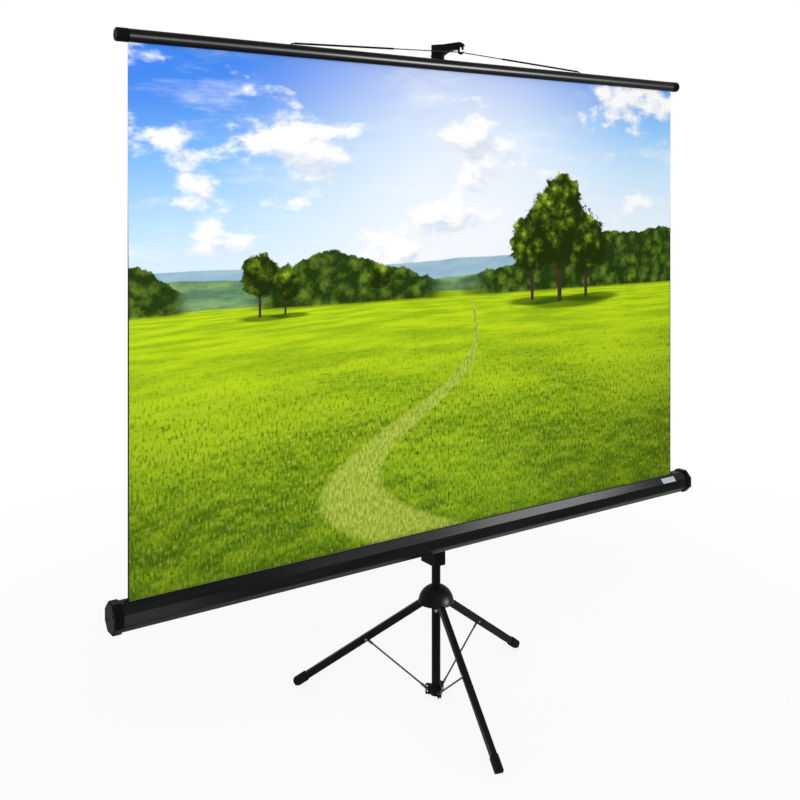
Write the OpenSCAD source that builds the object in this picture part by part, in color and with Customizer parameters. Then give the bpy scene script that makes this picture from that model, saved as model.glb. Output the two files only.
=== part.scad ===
// Floor-standing projection screen: a tripod, a telescopic mast, a roller case on a sliding
// carriage, and a fabric that is pulled up from the case and hung on the mast head.
// The screen faces -Y, its width runs along X, and the feet stand on z = 0.
// Millimetres and degrees. Lengths along the pole are heights above the floor.

/* [Screen fabric] */
// Width of the fabric
fabric_w = 1830; // [1500:5:2100]
// Thickness of the fabric
fabric_t = 0.5; // [0.3:0.05:0.8]
// Distance of the fabric in front of the pole's axis
fabric_front = 65; // [62:0.5:70]
// Radius of the fabric that is still wound on the roller
wound_r = 17; // [15.5:0.5:20]
// Bend radius of the fabric where it leaves the slot
slot_drop = 5; // [3:0.5:8]

/* [Case] */
// Size of the octagonal case across its flats
case_flat = 64; // [62:0.5:70]
// Wall of the case
case_wall = 1; // [0.8:0.1:1.5]
// Distance of the case's middle in front of the pole's axis
case_front = 60; // [59:0.5:63]
// Height of the case's middle
case_z = 467; // [460:1:500]
// How far the case runs past the fabric at the left end
case_over_left = 40; // [38:1:70]
// How far the case runs past the fabric at the right end
case_over_right = 71; // [45:1:80]
// Width of the slot that the fabric leaves through
slot_w = 9; // [8:0.5:12]
// How far the slot runs past the fabric at each end
slot_over = 10; // [6:1:14]
// How far an end cap stands out round the case
cap_proud = 3; // [2:0.5:8]
// Length of an end cap
cap_l = 22; // [18:1:30]
// Length of the solid end of an end cap
cap_end = 9; // [8:0.5:12]
// Bevel on an end cap's outer edge
cap_bevel = 3; // [2:0.5:7]
// Length of the blank plate
plate_l = 60; // [50:1:90]
// Height of the blank plate
plate_h = 18; // [10:0.5:19.5]
// Thickness of the blank plate
plate_t = 0.8; // [0.5:0.1:1.2]
// Distance of the plate from the end of the fabric
plate_in = 3; // [-8:1:40]
// Distance of the plate below the middle of the face that it sits on
plate_low = 3.25; // [0:0.25:3.5]

/* [Roller] */
// Radius of the roller tube
roller_r = 14; // [13:0.5:15]
// Wall of the roller tube
roller_wall = 1; // [0.8:0.1:1.5]
// How far the roller tube runs past the fabric at each end
roller_over = 12; // [5:1:20]
// Radius of the roller's spindles
spindle_r = 4; // [3:0.5:5]
// Length of a roller plug inside the tube
plug_l = 30; // [20:1:40]
// Outer radius of the torsion spring
spring_r = 10; // [8:0.5:11]
// Wire thickness of the torsion spring
spring_wire = 2.5; // [1.5:0.5:3]
// Length of the torsion spring
spring_l = 420; // [300:10:600]

/* [Top bar and bail] */
// Radius of the top bar
bar_r = 15.5; // [11:0.5:17]
// Wall of the top bar
bar_wall = 1.4; // [1:0.1:2]
// Height of the top bar's axis
bar_z = 1773; // [1700:1:1800]
// Length of a top bar cap
bar_cap_l = 29; // [25:1:45]
// How far a top bar cap stands out round the bar
bar_cap_proud = 0.5; // [0.5:0.1:2]
// Solid end of a top bar cap
bar_cap_end = 6; // [5:0.5:10]
// Radius of the rod that holds the fabric in the bar
spline_r = 3; // [2:0.5:5]
// Distance of a bail anchor from the middle of the bar
anchor_x = 498; // [400:1:600]
// Radius of a bail anchor
anchor_r = 5; // [4:0.5:6]
// How far a bail anchor stands above the bar
anchor_h = 0.5; // [0.5:0.5:8]
// Radius of the bail wire
wire_r = 1.4; // [1:0.1:1.5]
// Bend radius of the bail wire above an anchor
bail_bend = 2.5; // [2.5:0.5:10]
// Radius of the sleeves on the bail wire
sleeve_r = 2.6; // [2.2:0.1:4]
// Length of a sleeve on the bail wire
sleeve_l = 300; // [40:5:340]
// Distance of a sleeve from the bend at its anchor
sleeve_gap = 8; // [6:1:60]

/* [Pole and mast] */
// Radius of the lower tube
pole_r = 12.5; // [12:0.5:13]
// Wall of the lower tube
pole_wall = 1.2; // [1:0.1:1.5]
// Height of the lower tube's lower end
pole_bottom = 8; // [6:1:12]
// Height of the lower tube's upper end
pole_top = 1110; // [1000:5:1150]
// Radius of the mast tube
mast_r = 10; // [9.5:0.5:10]
// Wall of the mast tube
mast_wall = 1.2; // [1:0.1:1.5]
// Length of the mast tube that stays in the lower tube
mast_overlap = 180; // [120:5:200]
// Length of the guide bush on the mast's lower end
bush_l = 25; // [15:1:40]
// Length of the clamp on the lower tube
clamp_l = 35; // [30:1:45]
// Height of the clamp above the lower tube's end
clamp_cap = 12; // [8:1:16]
// Wall of the clamp
clamp_wall = 4.5; // [3.5:0.5:6]
// Reach of the clamp's boss from the pole's axis
clamp_boss = 30; // [26:1:36]

/* [Mast head and hook] */
// Wall of the head round the mast
head_wall = 3.5; // [3:0.5:5]
// Height of the head
head_h = 42; // [34:1:46]
// Thickness of the head above the mast's end
head_roof = 4; // [3:0.5:6]
// Reach of the head block in front of the mast's axis
head_front = 21.5; // [19:0.5:24]
// Width of the arm
arm_w = 18; // [9:0.5:20]
// Radius of the arm's nose
nose_r = 11; // [9:0.5:12]
// Rise of the arm's upper edge from the head to its nose
arm_rise = 3.5; // [0:0.5:5]
// Distance from the mast's axis to the bail in the hook
hook_reach = 75; // [70:0.5:80]
// Thickness of the hook plate
hook_t = 5; // [4:0.5:5]
// Radius of the hook's throat
hook_throat = 3; // [3:0.1:3.5]
// Wall of the hook round its throat
hook_wall = 5; // [4:0.5:6]
// Height of the hook's mouth
hook_mouth = 5.5; // [4:0.5:7]
// Height of the bail in the hook above the top bar's axis
bail_rise = 40.5; // [38:0.5:46]

/* [Leg hub] */
// Distance of the leg pivots from the pole's axis
pivot_r = 25; // [25:0.5:28]
// Radius of the leg pins
pin_r = 2.5; // [2:0.25:3]
// Wall of the hub's sleeve
hub_wall = 3; // [2.5:0.25:3]
// Width of a hub tongue
tongue_w = 11; // [8:0.5:11]
// Radius of a hub tongue round its pin
tongue_r = 7; // [6:0.5:7.5]
// Length of the sleeve below the leg pivots
hub_below = 23; // [18:1:28]
// Length of the sleeve above the leg pivots
hub_above = 26; // [22:1:28]
// Radius of the hub's flange
flange_r = 28; // [26:0.5:30]
// Thickness of the hub's flange
flange_t = 3; // [2:0.5:3.5]
// Radius of the dome
dome_r = 50; // [46:0.5:55]
// Wall of the dome
dome_wall = 2; // [1.5:0.25:3]
// Depth of the dome's rim below the leg pivots
dome_drop = 7.5; // [4:0.5:8]
// Width of a leg slot in the dome
dome_slot_w = 16; // [16:0.5:20]
// Clearance of a leg slot above the leg
dome_slot_gap = 0.8; // [0.5:0.1:2]

/* [Legs and struts] */
// Turn of the right leg from the screen's width
leg_turn = 15.3; // [0:0.1:30]
// Slope of the legs below level
leg_tilt = 34.9; // [30:0.1:40]
// Length of a leg channel from its pivot
leg_len = 458; // [380:2:520]
// Width of a leg channel
leg_w = 14; // [14:0.5:15]
// Height of a leg channel
leg_h = 20; // [17:0.5:21]
// Wall of a leg channel
leg_wall = 1.2; // [1:0.1:1.3]
// Radius of a leg channel's upper end
leg_end_r = 8; // [7:0.5:8.5]
// Distance of the strut rivet below the leg's middle line
rivet_low = 4; // [2:0.5:5]
// Radius of the strut rivets and collar pins
rivet_r = 2; // [1.5:0.25:2.5]
// Radius of a rivet head
rivet_head_r = 3.6; // [3:0.2:4]
// Thickness of a rivet head
rivet_head_t = 1.2; // [0.8:0.1:1.6]
// Radius of a strut rod
strut_r = 2.5; // [1.5:0.25:3]
// Radius of a strut's flat eyes
eye_r = 5; // [4.5:0.25:5.5]
// Thickness of a strut's flat eyes
eye_t = 3; // [2.5:0.25:3.5]
// Length of the flat end of a strut from its eye
eye_l = 22; // [18:1:30]
// Length of a rubber foot
foot_l = 40; // [30:1:50]
// Wall of a rubber foot
foot_wall = 3; // [2:0.25:4]
// Thickness of a rubber foot's end
foot_end_t = 13; // [8:0.5:16]
// Radius of a rubber foot's long edges
foot_edge = 6.5; // [3:0.5:8]
// Radius of a rubber foot's rounded end
foot_nose = 20; // [17:0.5:24]
// Height of the leg's middle line at the foot's end
foot_lift = 4.3; // [2:0.1:6]

/* [Strut collar] */
// Wall of the collar
collar_wall = 4; // [3:0.5:5]
// Height of the collar's sleeve
collar_h = 26; // [24:1:40]
// Height of the collar pins above the lower tube's lower end
collar_pin_up = 11; // [10:0.5:20]
// Thickness of a collar ear
ear_t = 2.5; // [2:0.25:3]
// Half height of a collar ear
ear_half = 14; // [13.5:0.5:15]
// Travel of a collar pin each way from its place with the legs open
ear_travel = 9; // [8:0.5:9.5]

/* [Carriage] */
// Width of the carriage
carriage_w = 40; // [36:1:48]
// Reach of the carriage in front of the pole's axis
carriage_front = 20; // [19:0.5:21]
// Reach of the carriage behind the pole's axis
carriage_back = 47; // [38:1:55]
// Height of the carriage's lower end
carriage_z = 373; // [368:1:385]
// Height of the carriage
carriage_h = 124; // [116:1:130]
// Radius of the carriage's upright edges
carriage_edge = 4; // [2:0.5:6]
// Thickness of the saddle that holds the case
saddle_t = 2.5; // [2:0.25:3]
// Width of the saddle
saddle_w = 90; // [60:2:140]
// Radius of the case's pivot stud
stud_r = 5; // [4:0.5:6]

/* [Knobs] */
// Radius of a knob
knob_r = 16; // [13:0.5:20]
// Thickness of a knob
knob_t = 14; // [10:0.5:18]
// Number of finger hollows round a knob
knob_lobes = 6; // [5:1:8]
// Radius of a knob's screw
screw_r = 4; // [3:0.5:5]
// Distance of the carriage knob above the carriage's lower end
knob_up = 32; // [24:1:60]

/* [Fits] */
// Radial clearance of a running fit
run_gap = 0.05; // [0.03:0.01:0.09]
// Clearance between faces that slide past each other
face_gap = 0.3; // [0.2:0.05:0.5]

/* [Hidden] */
$fn = 48;
eps = 0.01;
past = 1;

// Leg and strut linkage: the collar pin lies straight below the leg pivot, and the rivet is
// halfway up between them, so leg and strut are equally long and turn by the same angle.
foot_reach = leg_len + foot_end_t;
pivot_z = foot_reach * sin(leg_tilt) + foot_lift;
collar_pin_z = pole_bottom + collar_pin_up;
rivet_at = ((pivot_z - collar_pin_z) / 2 - rivet_low * cos(leg_tilt)) / sin(leg_tilt);
strut_len = norm([rivet_at, rivet_low]);
strut_tilt = leg_tilt + atan(rivet_low / rivet_at);
LEG_TURNS = [leg_turn, leg_turn + 120, leg_turn + 240];

// The pole's axis is moved so that the origin is at the middle of the footprint.
foot_x = pivot_r + (foot_reach - foot_nose) * cos(leg_tilt) + foot_nose;
foot_half_w = leg_w / 2 + foot_wall - foot_edge / 10;
foot_back = foot_x * sin(leg_turn + 120) + foot_half_w * abs(cos(leg_turn + 120));
foot_fore = foot_x * sin(leg_turn + 240) - foot_half_w * abs(cos(leg_turn + 240));
pole_y = -(foot_back + foot_fore) / 2;
pole_x = (case_over_left - case_over_right) / 2;

fabric_y = -fabric_front;
case_y = -case_front;
case_left = fabric_w / 2 + case_over_left;
case_right = fabric_w / 2 + case_over_right;
case_top = case_z + case_flat / 2;
case_inner = case_flat - 2 * case_wall;
roller_half = fabric_w / 2 + roller_over;
bar_half = fabric_w / 2 + bar_cap_l - bar_cap_end;
fabric_top = bar_z - spline_r;

// Where the fabric inside the case meets the wound fabric: the tangent from the slot's bend.
bend_z = case_top - slot_drop;
wound_out = wound_r + face_gap + fabric_t / 2;
bend_off = [fabric_y - case_y, bend_z - case_z];
tangent_turn = atan2(bend_off[1], bend_off[0]) + acos(wound_out / norm(bend_off));
tangent_at = [case_y, case_z] + wound_out * [cos(tangent_turn), sin(tangent_turn)];

// The arm points to the bail, which hangs in the fabric's plane.
bail_z = bar_z + bail_rise;
arm_turn = acos(fabric_front / hook_reach);
bail_x = hook_reach * sin(arm_turn);
throat_z = bail_z - wire_r + hook_throat;
head_z = bail_z - 17.5;
head_top = head_z + head_h;
nose_z = head_top + arm_rise - nose_r;
mast_top = head_top - head_roof;
mast_bottom = pole_top - mast_overlap;

hub_bottom = pivot_z - hub_below;
hub_top = pivot_z + hub_above;
hub_r = pole_r + run_gap + hub_wall;
dome_z = pivot_z - dome_drop;
// Height of the leg's upper face above the dome's rim where the leg passes under it.
leg_in_rim = leg_h / 2 * cos(leg_tilt) + dome_drop
    - (dome_r - dome_wall - 0.6 - pivot_r - leg_h / 2 * sin(leg_tilt)) * tan(leg_tilt);
dome_slot_h = max(leg_in_rim, 0) + dome_slot_gap;
dome_screw_r = (hub_r + flange_r) / 2;
stop_head_r = 4.6;
stop_z = hub_bottom - stop_head_r - face_gap;
stop_turn = 232;

saddle_y = case_y + case_flat / 2 + saddle_t;
clamp_z = pole_top - clamp_l;
clamp_knob_z = clamp_z + 20;
carriage_knob_z = carriage_z + knob_up;

black = [0.06, 0.06, 0.065];
steel = [0.75, 0.75, 0.77];

// Helpers

// Places what is modelled round the pole's axis.
module stand() { translate([pole_x, pole_y, 0]) children(); }

// A tube along +Z.
module tube(r, inner, h) {
    difference() {
        cylinder(r = r, h = h);
        translate([0, 0, -past]) cylinder(r = inner, h = h + 2 * past);
    }
}

// A cylinder along +X from x0 to x1.
module rod_x(r, x0, x1) { translate([x0, 0, 0]) rotate([0, 90, 0]) cylinder(r = r, h = x1 - x0); }

// A cylinder along +Y from y0 to y1.
module rod_y(r, y0, y1) { translate([0, y0, 0]) rotate([-90, 0, 0]) cylinder(r = r, h = y1 - y0); }

// Extrudes a profile drawn in the YZ plane along +X from x0 to x1.
module along_x(x0, x1) { translate([x0, 0, 0]) rotate([90, 0, 90]) linear_extrude(x1 - x0) children(); }

// A regular octagon with a flat top, by its size across the flats.
module octagon(flat) { rotate(22.5) circle(r = flat / 2 / cos(22.5), $fn = 8); }

// A rectangle with round corners, from low corner to high corner.
module round_rect(lo, hi, r) {
    translate(lo + [r, 0]) square(hi - lo - [2 * r, 0]);
    translate(lo + [0, r]) square(hi - lo - [0, 2 * r]);
    for (x = [lo[0] + r, hi[0] - r], y = [lo[1] + r, hi[1] - r]) translate([x, y]) circle(r);
}

// A leg's own frame: pivot at the origin, +X down the leg, +Z out of its upper face.
module leg_frame(i) {
    stand() rotate([0, 0, LEG_TURNS[i]]) translate([pivot_r, 0, pivot_z])
        rotate([0, leg_tilt, 0]) children();
}

// A strut's own frame: collar pin at the origin, +X up the strut.
module strut_frame(i) {
    stand() rotate([0, 0, LEG_TURNS[i]]) translate([pivot_r, 0, collar_pin_z])
        rotate([0, -strut_tilt, 0]) children();
}

// A pin across a leg or an ear, with a head at each end.
module headed_pin(r, half, head_r, head_t) {
    rod_y(r, -half, half);
    for (side = [-1, 1]) translate([0, side * (half + head_t / 2), 0])
        rod_y(head_r, -head_t / 2, head_t / 2);
}

// A knob with finger hollows, its back face at y = 0 and its axis along +Y.
module knob() {
    hollow_r = knob_r * 0.34;
    difference() {
        union() {
            rod_y(knob_r, 1.5, knob_t - 1.5);
            rod_y(knob_r - 1.5, 0, knob_t);
        }
        for (i = [0 : knob_lobes - 1]) rotate([0, i * 360 / knob_lobes, 0])
            translate([knob_r + hollow_r * 0.45, 0, 0]) rod_y(hollow_r, -past, knob_t + past);
        rod_y(screw_r, -past, knob_t * 0.7);
    }
}

// Pole

module lower_tube() {
    color(black) stand() difference() {
        translate([0, 0, pole_bottom]) tube(pole_r, pole_r - pole_wall, pole_top - pole_bottom);
        rotate([0, 0, stop_turn]) translate([0, 0, stop_z]) rod_x(3, 0, pole_r + past);
        translate([0, 0, clamp_knob_z]) rod_y(screw_r + face_gap, 0, pole_r + past);
    }
}

module tube_plug() {
    plug_t = 3;
    color(black) stand() {
        translate([0, 0, pole_bottom - plug_t]) cylinder(r = pole_r, h = plug_t);
        translate([0, 0, pole_bottom]) cylinder(r = pole_r - pole_wall, h = 18);
    }
}

module collar_ears() {
    gap = eye_t / 2 + face_gap;
    outer = pivot_r + eye_r;
    for (turn = LEG_TURNS) rotate([0, 0, turn]) for (side = [0, 1]) mirror([0, side, 0])
        translate([0, gap + ear_t, collar_pin_z]) rotate([90, 0, 0]) linear_extrude(ear_t)
            difference() {
                round_rect([pole_r + collar_wall / 2, -ear_half], [outer, ear_half], 3);
                translate([pivot_r - rivet_r - face_gap, -ear_travel])
                    square([2 * (rivet_r + face_gap), 2 * ear_travel]);
                for (end = [-1, 1]) translate([pivot_r, end * ear_travel])
                    circle(rivet_r + face_gap);
            }
}

module strut_collar() {
    color(black) stand() difference() {
        union() {
            translate([0, 0, pole_bottom - 2])
                cylinder(r = pole_r + collar_wall, h = collar_h);
            collar_ears();
        }
        translate([0, 0, -past]) cylinder(r = pole_r, h = collar_h * 2);
        rotate([0, 0, leg_turn + 60]) translate([0, 0, collar_pin_z])
            rod_x(2, 0, pole_r + collar_wall + past);
    }
}

module collar_screw() {
    color(steel) stand() rotate([0, 0, leg_turn + 60]) translate([0, 0, collar_pin_z]) {
        rod_x(2, pole_r + eps, pole_r + collar_wall);
        rod_x(3.4, pole_r + collar_wall, pole_r + collar_wall + 1.8);
    }
}

module stop_rivet() {
    color(steel) stand() rotate([0, 0, stop_turn]) translate([0, 0, stop_z]) {
        rod_x(3, pole_r - pole_wall, pole_r + 1);
        rod_x(stop_head_r, pole_r + run_gap, pole_r + 2.2);
    }
}

module mast_clamp() {
    color(black) stand() difference() {
        union() {
            translate([0, 0, clamp_z]) cylinder(r = pole_r + clamp_wall, h = clamp_l);
            translate([0, 0, pole_top]) cylinder(r = pole_r + clamp_wall - 1.5, h = clamp_cap);
            translate([0, 0, clamp_z + 7]) linear_extrude(clamp_l - 9)
                round_rect([-11, pole_r - 2], [11, clamp_boss], 3);
        }
        translate([0, 0, clamp_z - past]) cylinder(r = pole_r, h = clamp_l + past);
        translate([0, 0, pole_top - past]) cylinder(r = mast_r + run_gap, h = clamp_cap + 2 * past);
        translate([0, 0, clamp_knob_z]) rod_y(screw_r + run_gap, 0, clamp_boss + past);
    }
}

// Hub

module leg_hub() {
    color(black) stand() difference() {
        union() {
            translate([0, 0, hub_bottom]) cylinder(r = hub_r, h = hub_top - hub_bottom);
            translate([0, 0, hub_top - flange_t]) cylinder(r = flange_r, h = flange_t);
            for (turn = LEG_TURNS) rotate([0, 0, turn]) translate([0, 0, pivot_z]) {
                translate([pole_r + run_gap + 1, -tongue_w / 2, -tongue_r])
                    cube([pivot_r - pole_r - run_gap - 1, tongue_w, 2 * tongue_r]);
                translate([pivot_r, 0, 0]) rod_y(tongue_r, -tongue_w / 2, tongue_w / 2);
            }
        }
        translate([0, 0, hub_bottom - past])
            cylinder(r = pole_r + run_gap, h = hub_top - hub_bottom + 2 * past);
        for (turn = LEG_TURNS) rotate([0, 0, turn]) {
            translate([pivot_r, 0, pivot_z]) rod_y(pin_r, -tongue_w, tongue_w);
            rotate([0, 0, 60]) translate([dome_screw_r, 0, hub_top - flange_t - past])
                cylinder(r = 1.6, h = flange_t + 2 * past);
        }
    }
}

module hub_dome() {
    rim = pole_r + run_gap + 1;
    color(black) stand() translate([0, 0, dome_z]) difference() {
        rotate_extrude($fn = 96) {
            intersection() {
                difference() { circle(dome_r); circle(dome_r - dome_wall); }
                translate([rim, 0]) square(dome_r * 2);
            }
            intersection() {
                circle(dome_r - dome_wall / 2);
                translate([rim, hub_top - dome_z]) square([flange_r - 2 - rim, dome_r]);
            }
        }
        for (turn = LEG_TURNS) rotate([0, 0, turn]) {
            translate([pivot_r + leg_h / 2, -dome_slot_w / 2, -past])
                cube([dome_r, dome_slot_w, dome_slot_h + past]);
            rotate([0, 0, 60]) translate([dome_screw_r, 0, hub_top - dome_z - past])
                cylinder(r = 1.6, h = past + 7);
        }
    }
}

module dome_screws() {
    color(steel) stand() for (turn = LEG_TURNS) rotate([0, 0, turn + 60])
        translate([dome_screw_r, 0, hub_top - flange_t]) {
            cylinder(r = 1.6, h = flange_t + 6);
            translate([0, 0, -2]) cylinder(r = 3, h = 2);
        }
}

module leg_pins() {
    color(steel) for (i = [0 : 2]) leg_frame(i)
        headed_pin(pin_r, leg_w / 2 + face_gap, pin_r + 1.6, 1.4);
}

// Legs

module leg(i) {
    inner_w = leg_w - 2 * leg_wall;
    color(black) leg_frame(i) difference() {
        union() {
            translate([0, -leg_w / 2, -leg_h / 2]) cube([leg_len, leg_w, leg_h]);
            rod_y(leg_end_r, -leg_w / 2, leg_w / 2);
        }
        translate([-2 * leg_h, -inner_w / 2, -leg_h / 2 - past])
            cube([leg_len + 4 * leg_h, inner_w, leg_h - leg_wall + past]);
        rod_y(pin_r + run_gap, -leg_w, leg_w);
        translate([rivet_at, 0, -rivet_low]) rod_y(rivet_r, -leg_w, leg_w);
    }
}

module foot(i) {
    half_w = leg_w / 2 + foot_wall;
    half_h = leg_h / 2 + foot_wall;
    color([0.03, 0.03, 0.03]) difference() {
        leg_frame(i) difference() {
            intersection() {
                translate([foot_reach - foot_l, 0, 0]) rotate([90, 0, 90])
                    linear_extrude(foot_l) round_rect([-half_w, -half_h], [half_w, half_h], foot_edge);
                union() {
                    translate([foot_reach - foot_nose, 0, 0]) rod_y(foot_nose, -leg_w, leg_w);
                    translate([foot_reach - foot_l - past, -leg_w, -foot_nose])
                        cube([foot_l + past - foot_nose, 2 * leg_w, 2 * foot_nose]);
                }
            }
            translate([foot_reach - foot_l - past, -leg_w / 2, -leg_h / 2])
                cube([foot_l - foot_end_t + past, leg_w, leg_h]);
        }
        translate([-foot_x * 2, -foot_x * 2, -100]) cube([foot_x * 4, foot_x * 4, 100]);
    }
}

module leg_rivet(i) {
    color(steel) leg_frame(i) translate([rivet_at, 0, -rivet_low])
        headed_pin(rivet_r, leg_w / 2, rivet_head_r, rivet_head_t);
}

module strut(i) {
    color(steel) strut_frame(i) difference() {
        union() {
            rod_x(strut_r, eye_l - 3, strut_len - eye_l + 3);
            for (x = [0, strut_len - eye_l]) translate([x, -eye_t / 2, -strut_r - 1])
                cube([eye_l, eye_t, 2 * strut_r + 2]);
            for (x = [0, strut_len]) translate([x, 0, 0]) rod_y(eye_r, -eye_t / 2, eye_t / 2);
        }
        rod_y(rivet_r, -eye_t, eye_t);
        translate([strut_len, 0, 0]) rod_y(rivet_r + run_gap, -eye_t, eye_t);
    }
}

module collar_pin(i) {
    half = eye_t / 2 + ear_t + 2 * face_gap;
    color(steel) strut_frame(i) headed_pin(rivet_r, half, rivet_head_r, rivet_head_t);
}

// Carriage

module carriage_body() {
    stud_z = case_z;
    color(black) stand() difference() {
        translate([0, 0, carriage_z]) linear_extrude(carriage_h)
            round_rect([-carriage_w / 2, -carriage_front], [carriage_w / 2, carriage_back], carriage_edge);
        translate([0, 0, carriage_z - past])
            cylinder(r = pole_r + run_gap, h = carriage_h + 2 * past);
        translate([0, 0, carriage_z + carriage_h - 62]) linear_extrude(62 + past)
            round_rect([-carriage_w, pole_r + 6], [carriage_w, carriage_back * 2], carriage_edge);
        translate([0, 0, stud_z]) rod_y(stud_r, -carriage_front - past, -pole_r);
        translate([0, 0, carriage_knob_z]) rod_y(screw_r + run_gap, 0, carriage_back + past);
        translate([0, -carriage_front + 3.6, stud_z]) rod_x(2, 0, carriage_w);
    }
}

module case_saddle() {
    color(black) stand() {
        translate([0, case_y, case_z]) along_x(-saddle_w / 2, saddle_w / 2) intersection() {
            difference() { octagon(case_flat + 2 * saddle_t); octagon(case_flat); }
            translate([3, -case_flat]) square(case_flat * 2);
        }
        translate([0, 0, case_z]) rod_y(stud_r, saddle_y - eps, -pole_r - 1);
    }
}

module pivot_washer() {
    color(steel) stand() translate([0, 0, case_z]) difference() {
        rod_y(stud_r + 5, saddle_y, -carriage_front);
        rod_y(stud_r, saddle_y - past, -carriage_front + past);
    }
}

module pivot_screw() {
    color(steel) stand() translate([0, -carriage_front + 3.6, case_z]) {
        rod_x(2, stud_r, carriage_w / 2);
        rod_x(3.6, carriage_w / 2, carriage_w / 2 + 2.4);
    }
}

// Case

module case_shell() {
    color(black) stand() difference() {
        translate([0, case_y, case_z]) along_x(-case_left + cap_end, case_right - cap_end) difference() {
            octagon(case_flat);
            octagon(case_inner);
        }
        translate([-fabric_w / 2 - slot_over, fabric_y - slot_w / 2, case_z])
            cube([fabric_w + 2 * slot_over, slot_w, case_flat]);
    }
}

// An end cap on the case's right side, with its outer face at x1.
module end_cap(x1, spindle_hole_r) {
    outer = case_flat + 2 * cap_proud;
    translate([0, case_y, case_z]) difference() {
        along_x(x1 - cap_l, x1) octagon(outer);
        for (i = [0 : 7]) rotate([45 * i, 0, 0])
            translate([x1 - cap_bevel / 2, 0, (outer - cap_bevel) / 2]) rotate([0, 45, 0])
                translate([-outer, -outer, 0]) cube(2 * outer);
        along_x(x1 - cap_l - past, x1 - cap_end) octagon(case_flat);
        rod_x(spindle_hole_r, x1 - cap_l, x1 - 3);
        for (side = [-1, 1]) translate([0, side * cap_screw_off, -side * cap_screw_off / 2])
            rod_x(1.8, x1 - cap_l, x1 + past);
    }
}
cap_screw_off = 20;

module end_cap_right() { color(black) stand() end_cap(case_right, spindle_r + run_gap); }
module end_cap_left() { color(black) stand() mirror([1, 0, 0]) end_cap(case_left, spindle_r); }

module cap_screws(x1) {
    translate([0, case_y, case_z]) for (side = [-1, 1])
        translate([0, side * cap_screw_off, -side * cap_screw_off / 2]) {
            rod_x(1.8, x1 - cap_end - 6, x1);
            rod_x(3.4, x1, x1 + 1.6);
        }
}

module cap_screws_right() { color(steel) stand() cap_screws(case_right); }
module cap_screws_left() { color(steel) stand() mirror([1, 0, 0]) cap_screws(case_left); }

module name_plate() {
    x1 = fabric_w / 2 - plate_in;
    color("white") stand() translate([x1 - plate_l, case_y, case_z]) rotate([-45, 0, 0])
        translate([0, -case_flat / 2 - plate_t, -plate_h / 2 - plate_low])
            cube([plate_l, plate_t, plate_h]);
}

// Roller

module roller_tube() {
    color(steel) stand() translate([0, case_y, case_z]) difference() {
        rod_x(roller_r, -roller_half, roller_half);
        rod_x(roller_r - roller_wall, -roller_half - past, roller_half + past);
    }
}

module wound_fabric() {
    color([0.15, 0.15, 0.15]) stand() translate([0, case_y, case_z]) difference() {
        rod_x(wound_r, -fabric_w / 2, fabric_w / 2);
        rod_x(roller_r, -fabric_w / 2 - past, fabric_w / 2 + past);
    }
}

module roller_plug_left() {
    color(black) stand() translate([0, case_y, case_z]) difference() {
        union() {
            rod_x(roller_r - roller_wall, -roller_half, -roller_half + plug_l);
            rod_x(roller_r + 1, -roller_half - 2, -roller_half);
        }
        rod_x(spindle_r + run_gap, -roller_half - 2 - past, -roller_half + plug_l + past);
    }
}

module roller_plug_right() {
    color(black) stand() translate([0, case_y, case_z]) {
        rod_x(roller_r - roller_wall, roller_half - plug_l, roller_half);
        rod_x(roller_r + 1, roller_half, roller_half + 2);
        rod_x(spindle_r, roller_half + 2 - eps, case_right - 4);
    }
}

spring_x = -roller_half + plug_l + 5;

module spring_shaft() {
    color(steel) stand() translate([0, case_y, case_z]) {
        rod_x(spindle_r, -case_left + 4, spring_x + spring_l + 12);
        rod_x(spring_r, spring_x + spring_l, spring_x + spring_l + 8);
    }
}

module torsion_spring() {
    x0 = spring_x;
    color(steel) stand() translate([0, case_y, case_z]) difference() {
        rod_x(spring_r, x0, x0 + spring_l);
        rod_x(spring_r - spring_wire, x0 - past, x0 + spring_l + past);
    }
}

// Mast

module mast_tube() {
    color(black) stand() difference() {
        translate([0, 0, mast_bottom]) tube(mast_r, mast_r - mast_wall, mast_top - mast_bottom);
        rotate([0, 0, 90 + arm_turn]) translate([0, 0, head_z + 12]) rod_x(2, 0, mast_r + past);
    }
}

module mast_bush() {
    color([0.2, 0.2, 0.2]) stand() translate([0, 0, mast_bottom])
        tube(pole_r - pole_wall - run_gap, mast_r, bush_l);
}

// The arm's side view: x is the distance from the mast's axis along the arm, y the height.
module arm_profile() {
    under_z = bail_z + hook_mouth + 2.5;
    arc_z = bail_z - 25.5;
    difference() {
        union() {
            polygon([[0, head_z], [0, head_top], [head_front, head_top],
                [hook_reach - 2, head_top + arm_rise], [hook_reach - 2, under_z],
                [hook_reach - 9, under_z], [hook_reach - 9, head_z]]);
            translate([hook_reach - 2, nose_z]) circle(nose_r);
        }
        translate([hook_reach - 9, arc_z]) scale([1.6, 1]) circle(under_z - arc_z, $fn = 64);
    }
}

module hook_profile() {
    outer = hook_throat + hook_wall;
    mouth_z = bail_z + wire_r;
    difference() {
        union() {
            translate([hook_reach, throat_z]) circle(outer);
            translate([hook_reach - outer, throat_z]) square([2 * outer, nose_z - throat_z]);
        }
        translate([hook_reach, throat_z]) circle(hook_throat);
        translate([hook_reach - hook_throat, throat_z]) square([2 * hook_throat, 10]);
        translate([hook_reach, throat_z + 10]) circle(hook_throat);
        translate([hook_reach, mouth_z]) square([outer + past, hook_mouth]);
    }
}

module arm_frame() { rotate([0, 0, arm_turn - 90]) children(); }

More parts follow.
